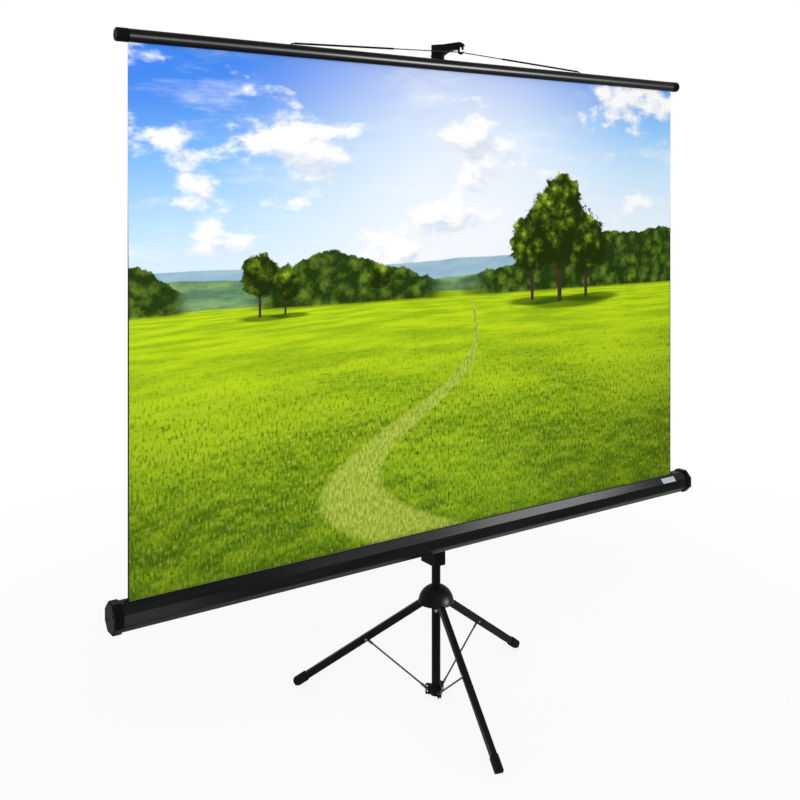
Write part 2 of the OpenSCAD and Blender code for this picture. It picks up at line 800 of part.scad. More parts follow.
module mast_head() {
    head_r = mast_r + head_wall;
    head_w = 2 * head_r - 3;
    color(black) stand() arm_frame() difference() {
        union() {
            translate([0, 0, head_z]) cylinder(r = head_r, h = head_h);
            translate([0, 0, head_z]) linear_extrude(head_h)
                round_rect([0, -head_w / 2], [head_front, head_w / 2], 3);
            translate([0, arm_w / 2, 0]) rotate([90, 0, 0]) linear_extrude(arm_w) difference() {
                arm_profile();
                translate([hook_reach - hook_throat - hook_wall, 0])
                    square([100, throat_z + 10 + hook_throat + 2]);
            }
            translate([0, hook_t / 2, 0]) rotate([90, 0, 0]) linear_extrude(hook_t) hook_profile();
        }
        translate([0, 0, head_z - past]) cylinder(r = mast_r, h = mast_top - head_z + past);
        translate([0, 0, head_z + 12]) rod_x(2, -head_r - past, 0);
    }
}

module head_screw() {
    head_r = mast_r + head_wall;
    color(steel) stand() arm_frame() translate([0, 0, head_z + 12]) {
        rod_x(2, -head_r, -mast_r + mast_wall);
        rod_x(3.4, -head_r - 2.2, -head_r + eps);
    }
}

// Knobs

module clamp_knob() {
    color(black) stand() translate([0, clamp_boss + face_gap, clamp_knob_z]) knob();
}

module clamp_knob_screw() {
    color(steel) stand() translate([0, 0, clamp_knob_z])
        rod_y(screw_r, mast_r + face_gap, clamp_boss + face_gap + knob_t * 0.7);
}

module carriage_knob() {
    color(black) stand() translate([0, carriage_back + face_gap, carriage_knob_z]) knob();
}

module carriage_knob_screw() {
    color(steel) stand() translate([0, 0, carriage_knob_z])
        rod_y(screw_r, pole_r + face_gap, carriage_back + face_gap + knob_t * 0.7);
}

// Top bar and bail

module top_bar() {
    color(black) stand() translate([0, fabric_y, bar_z]) difference() {
        rod_x(bar_r, -bar_half, bar_half);
        rod_x(bar_r - bar_wall, -bar_half - past, bar_half + past);
        translate([-bar_half - past, -2, -bar_r * 2]) cube([2 * (bar_half + past), 4, bar_r * 2]);
        for (side = [-1, 1]) translate([side * anchor_x, 0, 0]) cylinder(r = anchor_r - 1.5, h = bar_r * 2);
    }
}

module bar_cap() {
    outer = bar_r + bar_cap_proud;
    edge = 4;
    x0 = fabric_w / 2 + face_gap;
    x1 = fabric_w / 2 + bar_cap_l;
    translate([0, fabric_y, bar_z]) rotate([0, 90, 0]) difference() {
        rotate_extrude() {
            translate([0, x0]) square([outer, x1 - edge - x0]);
            translate([0, x1 - edge]) square([outer - edge, edge]);
            intersection() {
                translate([outer - edge, x1 - edge]) circle(edge);
                translate([outer - edge, x1 - edge]) square(edge);
            }
        }
        translate([0, 0, x0 - past]) cylinder(r = bar_r, h = bar_half - x0 + past);
    }
}

module bar_cap_right() { color(black) stand() bar_cap(); }
module bar_cap_left() { color(black) stand() mirror([1, 0, 0]) bar_cap(); }

module bar_spline() {
    color(steel) stand() translate([0, fabric_y, bar_z])
        rod_x(spline_r, -fabric_w / 2, fabric_w / 2);
}

module bail_anchors() {
    color(black) stand() for (side = [-1, 1]) translate([side * anchor_x, fabric_y, bar_z]) difference() {
        union() {
            translate([0, 0, bar_r - 4]) cylinder(r = anchor_r - 1.5, h = 4);
            translate([0, 0, bar_r]) cylinder(r = anchor_r, h = anchor_h);
        }
        cylinder(r = wire_r, h = bar_r + anchor_h + past);
    }
}

// The bail's path in the fabric's plane, as [x, z]: up out of an anchor, along to the hook, and down.
bail_top = [bail_x, bail_z];
function bail_corner(side) = [side * anchor_x, bar_z + bar_r + anchor_h + bail_bend];
function bail_end(side) = [side * anchor_x, bar_z + bar_r - 6];
function unit(v) = v / norm(v);

// Points round the corner b of the path a, b, c, on an arc of radius r.
function corner_arc(a, b, c, r, steps) = let(
    u = unit(a - b), w = unit(c - b), half = acos(u * w) / 2,
    mid = b + unit(u + w) * r / sin(half),
    from = b + u * r / tan(half) - mid, to = b + w * r / tan(half) - mid)
    [for (i = [0 : steps]) mid + r * unit(from * (1 - i / steps) + to * i / steps)];

bail_path = concat([bail_end(-1)],
    corner_arc(bail_end(-1), bail_corner(-1), bail_top, bail_bend, 5),
    corner_arc(bail_corner(-1), bail_top, bail_corner(1), 6 * bail_bend, 2),
    corner_arc(bail_top, bail_corner(1), bail_end(1), bail_bend, 5),
    [bail_end(1)]);

// A round wire along a path in the fabric's plane, as one closed skin.
module wire(path, r, sides = 12) {
    last = len(path) - 1;
    rings = [for (i = [0 : last]) let(
        before = unit(path[max(i, 1)] - path[max(i, 1) - 1]),
        after = unit(path[min(i, last - 1) + 1] - path[min(i, last - 1)]),
        mean = unit(before + after), out = [-mean[1], mean[0]] / (mean * after))
        for (k = [0 : sides - 1]) let(a = 360 * (k + 0.5) / sides)
            [path[i][0] + r * cos(a) * out[0], r * sin(a), path[i][1] + r * cos(a) * out[1]]];
    walls = [for (i = [0 : last - 1], k = [0 : sides - 1]) let(
        a = i * sides + k, b = i * sides + (k + 1) % sides)
        each [[a, a + sides, b + sides], [a, b + sides, b]]];
    ends = [[for (k = [0 : sides - 1]) k], [for (k = [sides - 1 : -1 : 0]) last * sides + k]];
    polyhedron(rings, concat(walls, ends));
}

module bail_wire() {
    color([0.35, 0.35, 0.36]) stand() translate([0, fabric_y, 0]) wire(bail_path, wire_r);
}

// A sleeve's place on the straight run from the bend above an anchor to the hook, along +Z.
module bail_run(side) {
    run = bail_top - bail_corner(side);
    translate([bail_corner(side)[0], fabric_y, bail_corner(side)[1]])
        rotate([0, atan2(run[0], run[1]), 0]) children();
}

module bail_sleeves() {
    color(black) stand() for (side = [-1, 1]) bail_run(side)
        translate([0, 0, sleeve_gap]) tube(sleeve_r, wire_r, sleeve_l);
}

// Fabric

module fabric_path() {
    slope = tangent_at - [fabric_y, bend_z];
    side = fabric_t / 2 * [-slope[1], slope[0]] / norm(slope);
    polygon([[fabric_y - fabric_t / 2, fabric_top], [fabric_y + fabric_t / 2, fabric_top],
        [fabric_y + fabric_t / 2, bend_z], tangent_at + side, tangent_at - side,
        [fabric_y - fabric_t / 2, bend_z]]);
}

module screen_fabric() {
    color("white") stand() along_x(-fabric_w / 2, fabric_w / 2) fabric_path();
}

lower_tube();
tube_plug();
strut_collar();
collar_screw();
stop_rivet();
mast_clamp();
leg_hub();
hub_dome();
dome_screws();
leg_pins();
leg(0);  // leg_right
leg(1);  // leg_left
leg(2);  // leg_front
foot(0);  // foot_right
foot(1);  // foot_left
foot(2);  // foot_front
leg_rivet(0);  // rivet_right
leg_rivet(1);  // rivet_left
leg_rivet(2);  // rivet_front
strut(0);  // strut_right
strut(1);  // strut_left
strut(2);  // strut_front
collar_pin(0);  // collar_pin_right
collar_pin(1);  // collar_pin_left
collar_pin(2);  // collar_pin_front
carriage_body();
case_saddle();
pivot_washer();
pivot_screw();
case_shell();
end_cap_left();
end_cap_right();
cap_screws_left();
cap_screws_right();
name_plate();
spring_shaft();
torsion_spring();
carriage_knob();
carriage_knob_screw();
roller_tube();
wound_fabric();
roller_plug_left();
roller_plug_right();
mast_tube();
mast_bush();
mast_head();
head_screw();
clamp_knob();
clamp_knob_screw();
top_bar();
bar_cap_left();
bar_cap_right();
bar_spline();
bail_anchors();
bail_wire();
bail_sleeves();
screen_fabric();
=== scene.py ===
"""Looks of a floor-standing projection screen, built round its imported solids.

The screen faces -Y, its fabric's width runs along X, and its feet stand on z = 0.
All sizes are in metres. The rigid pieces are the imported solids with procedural
finishes; the fabric, the roll in the case and the coils of the spring are built here.
"""

from __future__ import annotations

import logging
import math
from dataclasses import dataclass, field
from enum import Enum
from typing import Callable, ClassVar, Iterable, Sequence, Union

import bpy
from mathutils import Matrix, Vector


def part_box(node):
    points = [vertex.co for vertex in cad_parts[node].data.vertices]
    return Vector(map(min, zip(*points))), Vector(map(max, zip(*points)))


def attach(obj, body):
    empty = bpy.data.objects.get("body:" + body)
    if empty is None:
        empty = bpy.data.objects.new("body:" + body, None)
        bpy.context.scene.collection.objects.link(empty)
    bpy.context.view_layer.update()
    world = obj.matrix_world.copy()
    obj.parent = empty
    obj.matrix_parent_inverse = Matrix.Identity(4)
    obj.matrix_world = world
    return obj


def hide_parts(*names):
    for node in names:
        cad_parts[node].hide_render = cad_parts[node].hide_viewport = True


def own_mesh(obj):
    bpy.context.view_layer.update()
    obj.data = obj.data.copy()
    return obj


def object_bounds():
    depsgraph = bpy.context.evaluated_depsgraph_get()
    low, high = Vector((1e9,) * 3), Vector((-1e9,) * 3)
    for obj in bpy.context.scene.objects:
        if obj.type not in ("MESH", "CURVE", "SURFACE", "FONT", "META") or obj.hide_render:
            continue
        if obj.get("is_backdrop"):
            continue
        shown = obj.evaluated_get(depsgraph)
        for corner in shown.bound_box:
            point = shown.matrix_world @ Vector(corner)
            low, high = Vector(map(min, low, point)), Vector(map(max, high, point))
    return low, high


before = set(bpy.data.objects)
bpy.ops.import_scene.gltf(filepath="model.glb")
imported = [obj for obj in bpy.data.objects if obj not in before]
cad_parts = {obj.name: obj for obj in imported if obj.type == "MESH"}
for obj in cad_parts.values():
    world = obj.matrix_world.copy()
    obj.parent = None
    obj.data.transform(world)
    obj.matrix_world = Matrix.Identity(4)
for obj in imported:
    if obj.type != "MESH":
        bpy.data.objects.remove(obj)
cad_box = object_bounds()

log = logging.getLogger("screen")
logging.basicConfig(level=logging.INFO, format="%(name)s: %(message)s")

CASE = "case_shell"
BAR = "top_bar"
Point = tuple[float, float, float]
Colour = tuple[float, float, float]


def middle(node: str) -> Vector:
    """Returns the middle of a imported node's box."""
    low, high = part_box(node)
    return (low + high) / 2


# Shader building


class Value:
    """A shader socket that Python's operators can be used on."""

    def __init__(self, shader: Shader, socket: bpy.types.NodeSocket | None) -> None:
        """Wraps the socket of one shader."""
        self.shader = shader
        self.socket = socket

    def _math(self, operation: str, *terms: Number) -> Value:
        """Returns a Math node's result for these terms."""
        return self.shader.node(
            "ShaderNodeMath", {"operation": operation}, dict(enumerate(terms))
        )

    def __add__(self, other: Number) -> Value:
        """Returns the sum."""
        return self._math("ADD", self, other)

    def __sub__(self, other: Number) -> Value:
        """Returns the difference."""
        return self._math("SUBTRACT", self, other)

    def __rsub__(self, other: Number) -> Value:
        """Returns the reflected difference."""
        return self._math("SUBTRACT", other, self)

    def __mul__(self, other: Number) -> Value:
        """Returns the product."""
        return self._math("MULTIPLY", self, other)

    def __truediv__(self, other: Number) -> Value:
        """Returns the quotient."""
        return self._math("DIVIDE", self, other)

    def __rtruediv__(self, other: Number) -> Value:
        """Returns the reflected quotient."""
        return self._math("DIVIDE", other, self)

    def __pow__(self, other: Number) -> Value:
        """Returns the power."""
        return self._math("POWER", self, other)

    __radd__ = __add__
    __rmul__ = __mul__

    def least(self, other: Number) -> Value:
        """Returns the smaller of the two."""
        return self._math("MINIMUM", self, other)

    def most(self, other: Number) -> Value:
        """Returns the larger of the two."""
        return self._math("MAXIMUM", self, other)

    def size(self) -> Value:
        """Returns the value without its sign."""
        return self._math("ABSOLUTE", self)

    def over(self, other: Number) -> Value:
        """Returns 1 where the value is larger than the other, else 0."""
        return self._math("GREATER_THAN", self, other)

    def sine(self) -> Value:
        """Returns the sine."""
        return self._math("SINE", self)

    def rise(self, low: Number, high: Number) -> Value:
        """Returns 0 below low and 1 above high, with a smooth rise between."""
        return self.shader.node(
            "ShaderNodeMapRange",
            {"interpolation_type": "SMOOTHSTEP"},
            {"Value": self, "From Min": low, "From Max": high},
        )


Number = Union[Value, float]


class Shader:
    """One material's node tree, with the nodes that this object's finishes need."""

    def __init__(self, name: str) -> None:
        """Starts an empty material of that name."""
        self.material = bpy.data.materials.new(name)
        self.material.use_nodes = True
        self.tree = self.material.node_tree
        self.tree.nodes.clear()

    def node(
        self,
        kind: str,
        settings: dict | None = None,
        inputs: dict | None = None,
        output: int | str = 0,
    ) -> Value:
        """Adds a node.

        Args:
            kind: The node's type.
            settings: The node's own settings, set first; "stops" fills a colour ramp.
            inputs: A value or a link for each socket, by its name or number.
            output: The output to return.

        Returns:
            The chosen output.
        """
        made = self.tree.nodes.new(kind)
        for name, setting in (settings or {}).items():
            if name == "stops":
                ramp = made.color_ramp
                while len(ramp.elements) < len(setting):
                    ramp.elements.new(0.5)
                for stop, (place, colour) in zip(ramp.elements, setting):
                    stop.position, stop.color = place, (*colour, 1)
            else:
                setattr(made, name, setting)
        for name, given in (inputs or {}).items():
            socket = made.inputs[name]
            if isinstance(given, Value):
                self.tree.links.new(given.socket, socket)
            elif isinstance(given, tuple) and socket.type == "RGBA" and len(given) == 3:
                socket.default_value = (*given, 1)
            else:
                socket.default_value = given
        return Value(self, made.outputs[output] if made.outputs else None)

    def place(self, output: str = "Object") -> Value:
        """Returns the point on the surface, in metres, or its UV place."""
        return self.node("ShaderNodeTexCoord", output=output)

    def parts(self, vector: Value) -> tuple[Value, Value, Value]:
        """Returns the three parts of a vector."""
        first = self.node("ShaderNodeSeparateXYZ", inputs={0: vector})
        outputs = first.socket.node.outputs
        return first, Value(self, outputs[1]), Value(self, outputs[2])

    def joined(self, x: Number, y: Number, z: Number = 0.0) -> Value:
        """Returns a vector of three numbers."""
        return self.node("ShaderNodeCombineXYZ", inputs={0: x, 1: y, 2: z})

    def stretch(self, vector: Value, scale: Point, shift: Point = (0, 0, 0)) -> Value:
        """Returns the vector times scale, plus shift."""
        return self.node(
            "ShaderNodeVectorMath",
            {"operation": "MULTIPLY_ADD"},
            {0: vector, 1: scale, 2: shift},
        )

    def gap(self, vector: Value, point: Point) -> Value:
        """Returns how far a vector is from a fixed point."""
        return self.node(
            "ShaderNodeVectorMath",
            {"operation": "DISTANCE"},
            {0: vector, 1: point},
            "Value",
        )

    def noise(
        self, vector: Value, scale: float, detail: float = 2, rough: float = 0.5
    ) -> Value:
        """Returns cloudy noise from 0 to 1."""
        return self.node(
            "ShaderNodeTexNoise",
            inputs={
                "Vector": vector,
                "Scale": scale,
                "Detail": detail,
                "Roughness": rough,
            },
        )

    def cells(self, vector: Value, scale: float, feature: str = "F1") -> Value:
        """Returns the distance to the nearest of scattered points."""
        return self.node(
            "ShaderNodeTexVoronoi",
            {"feature": feature},
            {"Vector": vector, "Scale": scale},
            "Distance",
        )

    def mix(
        self,
        share: Number,
        first: Union[Value, Colour],
        second: Union[Value, Colour],
        way: str = "MIX",
    ) -> Value:
        """Returns a blend of two colours, all first where share is 0."""
        return self.node(
            "ShaderNodeMix",
            {"data_type": "RGBA", "blend_type": way},
            {0: share, 6: first, 7: second},
            2,
        )

    def ramp(
        self, value: Value, stops: Sequence[tuple[float, Colour]]
    ) -> Value:
        """Returns the colour that a ramp gives for the value."""
        return self.node("ShaderNodeValToRGB", {"stops": stops}, {0: value})

    def bump(self, height: Value, depth: float, strength: float = 1.0) -> Value:
        """Returns a normal that is pushed about by height, by at most depth metres."""
        return self.node(
            "ShaderNodeBump",
            inputs={"Height": height, "Distance": depth, "Strength": strength},
        )

    def finish(self, **sockets: Union[Number, Colour]) -> bpy.types.Material:
        """Ends the material in one surface shader.

        Args:
            sockets: The surface shader's sockets, with _ for each space.

        Returns:
            The finished material.
        """
        inputs = {name.replace("_", " "): given for name, given in sockets.items()}
        surface = self.node("ShaderNodeBsdfPrincipled", inputs=inputs)
        self.node("ShaderNodeOutputMaterial", inputs={"Surface": surface})
        return self.material


# Finishes


finished: dict[str, bpy.types.Material] = {}


@dataclass(frozen=True)
class Finish:
    """A finish: what a surface is made of and how it was treated."""

    name: str

    def build(self) -> bpy.types.Material:
        """Returns the material."""
        raise NotImplementedError

    def material(self) -> bpy.types.Material:
        """Returns the material, which is built the first time."""
        if self.name not in finished:
            finished[self.name] = self.build()
        return finished[self.name]


@dataclass(frozen=True)
class Enamel(Finish):
    """Baked paint on metal, with the faint orange peel of a sprayed coat."""

    colour: Colour = (0.02, 0.02, 0.022)
    roughness: float = 0.36
    peel: float = 700.0
    streak: Point = (1.0, 1.0, 1.0)
    shine: float = 0.14

    def build(self) -> bpy.types.Material:
        """Returns the material."""
        s = Shader(self.name)
        place = s.place()
        along = s.stretch(place, self.streak)
        peel = s.noise(place, self.peel, 2, 0.45)
        cloud = s.noise(along, 9, 5, 0.55)
        dust = s.noise(place, 2400, 1, 0.6).rise(0.66, 0.72)
        rub = s.noise(s.stretch(along, (1, 7, 1)), 34, 6, 0.7).rise(0.63, 0.72)
        dark = tuple(c * 0.75 for c in self.colour)
        light = tuple(c * 1.3 + 0.0008 for c in self.colour)
        base = s.mix(cloud.rise(0.3, 0.7), dark, light)
        base = s.mix(dust * 0.08, base, (0.12, 0.12, 0.125))
        base = s.mix(rub * 0.10, base, (0.05, 0.05, 0.053))
        rough = cloud * 0.05 + (self.roughness - 0.025) + rub * 0.05 + dust * 0.1
        return s.finish(
            Base_Color=base,
            Roughness=rough,
            Specular_IOR_Level=self.shine,
            Normal=s.bump(peel, 0.00004, 0.2),
        )


@dataclass(frozen=True)
class Moulded(Finish):
    """Spark-eroded moulded plastic, with flow marks and a little handling shine."""

    colour: Colour = (0.016, 0.016, 0.018)
    roughness: float = 0.5
    grain: float = 2200.0
    shine: float = 0.14

    def build(self) -> bpy.types.Material:
        """Returns the material."""
        s = Shader(self.name)
        place = s.place()
        grain = s.cells(place, self.grain)
        fine = s.noise(place, self.grain * 1.7, 3, 0.6)
        flow = s.noise(s.stretch(place, (1, 1, 2.4)), 26, 4, 0.6)
        worn = s.noise(place, 60, 6, 0.65).rise(0.56, 0.7)
        light = tuple(c * 1.6 + 0.001 for c in self.colour)
        base = s.mix(flow.rise(0.35, 0.7) * 0.7, self.colour, light)
        base = s.mix(worn * 0.16, base, (0.03, 0.03, 0.033))
        rough = flow * 0.08 + (self.roughness - 0.04) - worn * 0.1
        height = grain * 0.6 + fine * 0.4
        return s.finish(
            Base_Color=base,
            Roughness=rough,
            Specular_IOR_Level=self.shine,
            Normal=s.bump(height, 0.00003, 0.12),
        )


@dataclass(frozen=True)
class Steel(Finish):
    """Plated or drawn steel: fine lines, small dull spots and a little tarnish."""

    colour: Colour = (0.62, 0.62, 0.63)
    roughness: float = 0.3
    lines: Point = (1.0, 1.0, 30.0)

    def build(self) -> bpy.types.Material:
        """Returns the material."""
        s = Shader(self.name)
        place = s.place()
        drawn = s.noise(s.stretch(place, self.lines), 120, 4, 0.6)
        spots = s.noise(place, 420, 4, 0.6).rise(0.5, 0.75)
        tarnish = s.noise(place, 45, 5, 0.6).rise(0.45, 0.8)
        dull = tuple(c * 0.6 for c in self.colour)
        brown = tuple(c * k for c, k in zip(self.colour, (0.55, 0.50, 0.44)))
        base = s.mix(spots * 0.5, self.colour, dull)
        base = s.mix(tarnish * 0.35, base, brown)
        rough = drawn * 0.16 + (self.roughness - 0.06) + tarnish * 0.16
        return s.finish(
            Base_Color=base,
            Metallic=1.0,
            Roughness=rough,
            Normal=s.bump(drawn, 0.00003, 0.5),
        )


@dataclass(frozen=True)
class Rubber(Finish):
    """Dull moulded rubber with dust in its pores."""

    colour: Colour = (0.006, 0.006, 0.0062)

    def build(self) -> bpy.types.Material:
        """Returns the material."""
        s = Shader(self.name)
        place = s.place()
        pores = s.noise(place, 1600, 4, 0.65)
        dust = s.noise(place, 70, 6, 0.6).rise(0.45, 0.8)
        base = s.mix(dust * 0.3, self.colour, (0.028, 0.027, 0.026))
        return s.finish(
            Base_Color=base,
            Roughness=dust * 0.12 + 0.62,
            Specular_IOR_Level=0.05,
            Normal=s.bump(pores, 0.00005, 0.3),
        )


@dataclass(frozen=True)
class Plate(Finish):
    """A bare light plate of satin metal with brushed lines."""

    colour: Colour = (0.52, 0.57, 0.64)

    def build(self) -> bpy.types.Material:
        """Returns the material."""
        s = Shader(self.name)
        place = s.place()
        lines = s.noise(s.stretch(place, (1, 40, 40)), 60, 4, 0.6)
        mottle = s.noise(place, 90, 4, 0.6).rise(0.4, 0.75)
        base = s.mix(mottle * 0.5, self.colour, (0.34, 0.39, 0.46))
        return s.finish(
            Base_Color=base,
            Roughness=lines * 0.15 + 0.5,
            Specular_IOR_Level=0.05,
            Normal=s.bump(lines, 0.00002, 0.4),
        )


@dataclass(frozen=True)
class Cloth(Finish):
    """The fabric's coated dark back: a tight plain weave under a matt coat."""

    colour: Colour = (0.008, 0.008, 0.009)
    pitch: float = 0.0011

    def build(self) -> bpy.types.Material:
        """Returns the material."""
        s = Shader(self.name)
        place = s.place()
        x, _, z = s.parts(place)
        turn = 2 * math.pi / self.pitch
        weave = (x * turn).sine() * (z * turn).sine()
        fuzz = s.noise(place, 2600, 3, 0.6)
        cloud = s.noise(place, 3.0, 5, 0.6)
        light = tuple(c * 1.9 + 0.003 for c in self.colour)
        base = s.mix(cloud.rise(0.3, 0.7), self.colour, light)
        base = s.mix(fuzz.rise(0.6, 0.8) * 0.15, base, (0.05, 0.05, 0.052))
        return s.finish(
            Base_Color=base,
            Roughness=cloud * 0.1 + 0.62,
            Specular_IOR_Level=0.2,
            Normal=s.bump(weave * 0.5 + fuzz * 0.5, 0.00012, 0.8),
        )


@dataclass(frozen=True)
class Picture(Finish):
    """The fabric's front: a generic summer landscape on a fine weave.

    The picture is worked out in metres from the fabric's lower left corner.

    Attributes:
        wide: Its width.
        high: Its height.
        edge: The width of the dark side borders.
        border: The height of the pale lower border.
        horizon: The height of its horizon.
        weave_pitch: The distance between two threads of the weave.
        border_blur: Half the width over which the lower border fades.
        edge_blur: Half the width over which the side borders fade.
        glow: The brightest place of the sky.
        cloud_shift: The part of the noise that the clouds are taken from.
        cloud_light: The way towards the light that the clouds are lit from.
        top_crown: Crowns above this height stand on a lower one's trunk.
        least_trunk: Crowns with a smaller radius have no trunk.
        crowns: The trees' round crowns, each with its x, its y and its radius.
    """

    wide: float = 1.83
    high: float = 1.263
    edge: float = 0.0030
    border: float = 0.0026
    horizon: float = 0.66
    weave_pitch: float = 0.0012
    border_blur: float = 0.0006
    edge_blur: float = 0.0004
    glow: Point = (0.98, 0.88, 0.0)
    cloud_shift: Point = (7.9, 3.1, 0.0)
    cloud_light: Point = (-0.05, 0.11, 0.0)
    top_crown: float = 0.85
    least_trunk: float = 0.04
    crowns: tuple[Point, ...] = (
        (1.33, 0.83, 0.13),
        (1.22, 0.78, 0.09),
        (1.44, 0.77, 0.095),
        (1.34, 0.90, 0.085),
        (0.33, 0.72, 0.055),
        (0.40, 0.70, 0.045),
        (0.68, 0.705, 0.035),
    )

    def build(self) -> bpy.types.Material:
        """Returns the material."""
        s = Shader(self.name)
        place = s.place("UV")
        x, y, _ = s.parts(place)
        colour = self.sky(s, place, x, y)
        colour = self.hills(s, place, x, y, colour)
        colour = self.meadow(s, place, x, y, colour)
        colour = self.trees(s, place, x, y, colour)
        return self.cloth(s, place, x, y, colour)

    def sky(self, s: Shader, place: Value, x: Value, y: Value) -> Value:
        """Returns the sky's colour, with its heaped clouds."""
        height = y - x * 0.10 + 0.07
        blue = s.ramp(
            height.rise(self.horizon, self.high + 0.02),
            [
                (0.0, (0.80, 0.90, 0.98)),
                (0.35, (0.52, 0.76, 0.98)),
                (0.7, (0.24, 0.53, 0.95)),
                (1.0, (0.06, 0.25, 0.86)),
            ],
        )
        glow = s.gap(place, self.glow)
        blue = s.mix((1.0 - glow.rise(0.05, 0.85)) * 0.8, blue, (0.95, 0.97, 1.0))
        flat = s.stretch(place, (2.1, 3.6, 1.0), self.cloud_shift)
        upper = s.stretch(flat, (1, 1, 1), self.cloud_light)
        heap, above = (s.noise(spot, 1.55, 9, 0.56) for spot in (flat, upper))
        body = heap.rise(0.515, 0.60)
        lit = (heap - above + 0.06).rise(-0.03, 0.11)
        white = s.mix(lit, (0.66, 0.75, 0.88), (1.0, 1.0, 1.0))
        thin = s.noise(s.stretch(place, (1.2, 5.0, 1)), 2.4, 7, 0.62).rise(0.5, 0.75)
        blue = s.mix(thin * 0.5, blue, (0.93, 0.96, 1.0))
        return s.mix(body, blue, white)

    def hills(self, s: Shader, place: Value, x: Value, y: Value, under: Value) -> Value:
        """Returns under with two far ranges of hills in front."""
        tones = (
            (0.075, 1.1, 0.10, (0.30, 0.47, 0.62), (0.37, 0.55, 0.62)),
            (0.035, 1.9, 0.075, (0.10, 0.22, 0.13), (0.26, 0.42, 0.16)),
        )
        for i, (base, scale, reach, dark, light) in enumerate(tones):
            line = s.noise(s.joined(x, 3.7 * i + 0.4), scale, 4, 0.45)
            top = line * reach + (self.horizon + base - reach * 0.4)
            mask = (top - y).rise(0.0, 0.004)
            fields = s.noise(s.stretch(place, (1, 4, 1)), 9, 5, 0.6).rise(0.35, 0.65)
            under = s.mix(mask, under, s.mix(fields, dark, light))
        return under

    def meadow(
        self, s: Shader, place: Value, x: Value, y: Value, under: Value
    ) -> Value:
        """Returns under with the meadow and its winding path in front."""
        roll = s.noise(s.joined(x, 9.1), 1.3, 2, 0.4)
        top = roll * 0.07 + (self.horizon - 0.045)
        depth = (top - y).most(0.0)
        near = 1.0 / (depth + 0.045)
        ground = s.joined((x - 0.9) * near, near * 1.6)
        broad = s.noise(ground, 0.55, 5, 0.55)
        tufts = s.noise(ground, 7.0, 6, 0.68)
        blades = s.noise(s.stretch(place, (150, 62, 1)), 1.0, 5, 0.7)
        fade = depth.rise(0.0, 0.62)
        sun = s.mix(fade, (0.56, 0.76, 0.012), (0.20, 0.38, 0.012))
        shade = s.mix(fade, (0.30, 0.50, 0.010), (0.07, 0.16, 0.006))
        grass = s.mix(broad.rise(0.36, 0.64), shade, sun)
        grass = s.mix(
            tufts.rise(0.42, 0.70) * 0.6, grass, (0.46, 0.62, 0.018)
        )
        grass = s.mix(
            (1.0 - tufts.rise(0.30, 0.46)) * 0.55, grass, (0.03, 0.085, 0.005)
        )
        fine = depth.rise(0.06, 0.34)
        grass = s.mix(
            blades.rise(0.52, 0.66) * fine * 0.75, grass, (0.48, 0.66, 0.06)
        )
        grass = s.mix(
            (1.0 - blades.rise(0.36, 0.49)) * fine * 0.8, grass, (0.03, 0.085, 0.003)
        )
        corner = (depth - 0.30) * 1.5 + (x - 0.9).size() * 0.55
        grass = s.mix(corner.rise(0.1, 1.1) * 0.45, grass, (0.05, 0.09, 0.004))
        bend = (depth * 9.0 + 0.6).sine() * (depth * 0.42 + 0.02)
        offset = (x - (bend + 0.98 - depth * 0.35)).size()
        wide = depth * depth * 0.34 + 0.003
        rough = (tufts - 0.5) * 0.25 * wide
        path = (1.0 - (offset + rough).rise(wide * 0.8, wide * 1.25)) * 0.9
        worn = s.mix(blades.rise(0.4, 0.6), (0.26, 0.36, 0.03), (0.52, 0.62, 0.09))
        grass = s.mix(path * depth.rise(0.005, 0.03), grass, worn)
        dots = s.cells(ground, 26)
        near_by = depth.rise(0.16, 0.3) * broad.rise(0.5, 0.6)
        flower = (1.0 - dots.rise(0.06, 0.10)) * near_by
        grass = s.mix(flower * (1.0 - path), grass, (0.85, 0.80, 0.30))
        return s.mix((top - y).rise(0.0, 0.003), under, grass)

    def trees(self, s: Shader, place: Value, x: Value, y: Value, under: Value) -> Value:
        """Returns under with a far wood, the single trees and their shade in front."""
        leaf = s.noise(place, 34, 6, 0.72)
        clump = s.cells(place, 26)
        wood = s.noise(s.joined(x, 21.3), 1.5, 2, 0.4).rise(0.34, 0.62)
        crown = s.noise(s.joined(x, 2.2), 11, 4, 0.6)
        foot = self.horizon - 0.022
        line = wood * 0.15 + crown * 0.045 + (leaf - 0.5) * 0.035 + foot
        far = (line - y).rise(0.0, 0.005) * (y - foot + 0.008).rise(0.0, 0.012)
        dark, light = (0.018, 0.045, 0.006), (0.14, 0.23, 0.025)
        tone = s.mix((leaf * 0.7 + (1.0 - clump) * 0.3).rise(0.42, 0.72), dark, light)
        under = s.mix(far * wood.rise(0.08, 0.3), under, tone)
        for cx, cy, r in self.crowns:
            if cy < self.top_crown and r > self.least_trunk:
                under = self.trunk_and_shade(s, x, y, under, (cx, cy, r))
        best: Value | None = None
        lit: Value | None = None
        for cx, cy, r in self.crowns:
            inside = (r - s.gap(place, (cx, cy, 0.0))) / r + (leaf - 0.5) * 1.1
            top = (y - cy + (x - cx) * -0.5) / r * 0.32
            if best is None or lit is None:
                best, lit = inside, top
                continue
            lit = lit + (top - lit) * inside.over(best)
            best = best.most(inside)
        assert best is not None and lit is not None
        puff = s.noise(place, 60, 5, 0.7)
        glow = (puff * 0.8 + lit * 0.35 + (0.5 - clump) * 0.5 - 0.02).rise(0.28, 0.74)
        tone = s.ramp(
            glow,
            [
                (0.0, (0.016, 0.03, 0.004)),
                (0.45, (0.07, 0.13, 0.008)),
                (0.8, (0.20, 0.31, 0.018)),
                (1.0, (0.42, 0.52, 0.05)),
            ],
        )
        return s.mix(best.rise(0.0, 0.10), under, tone)

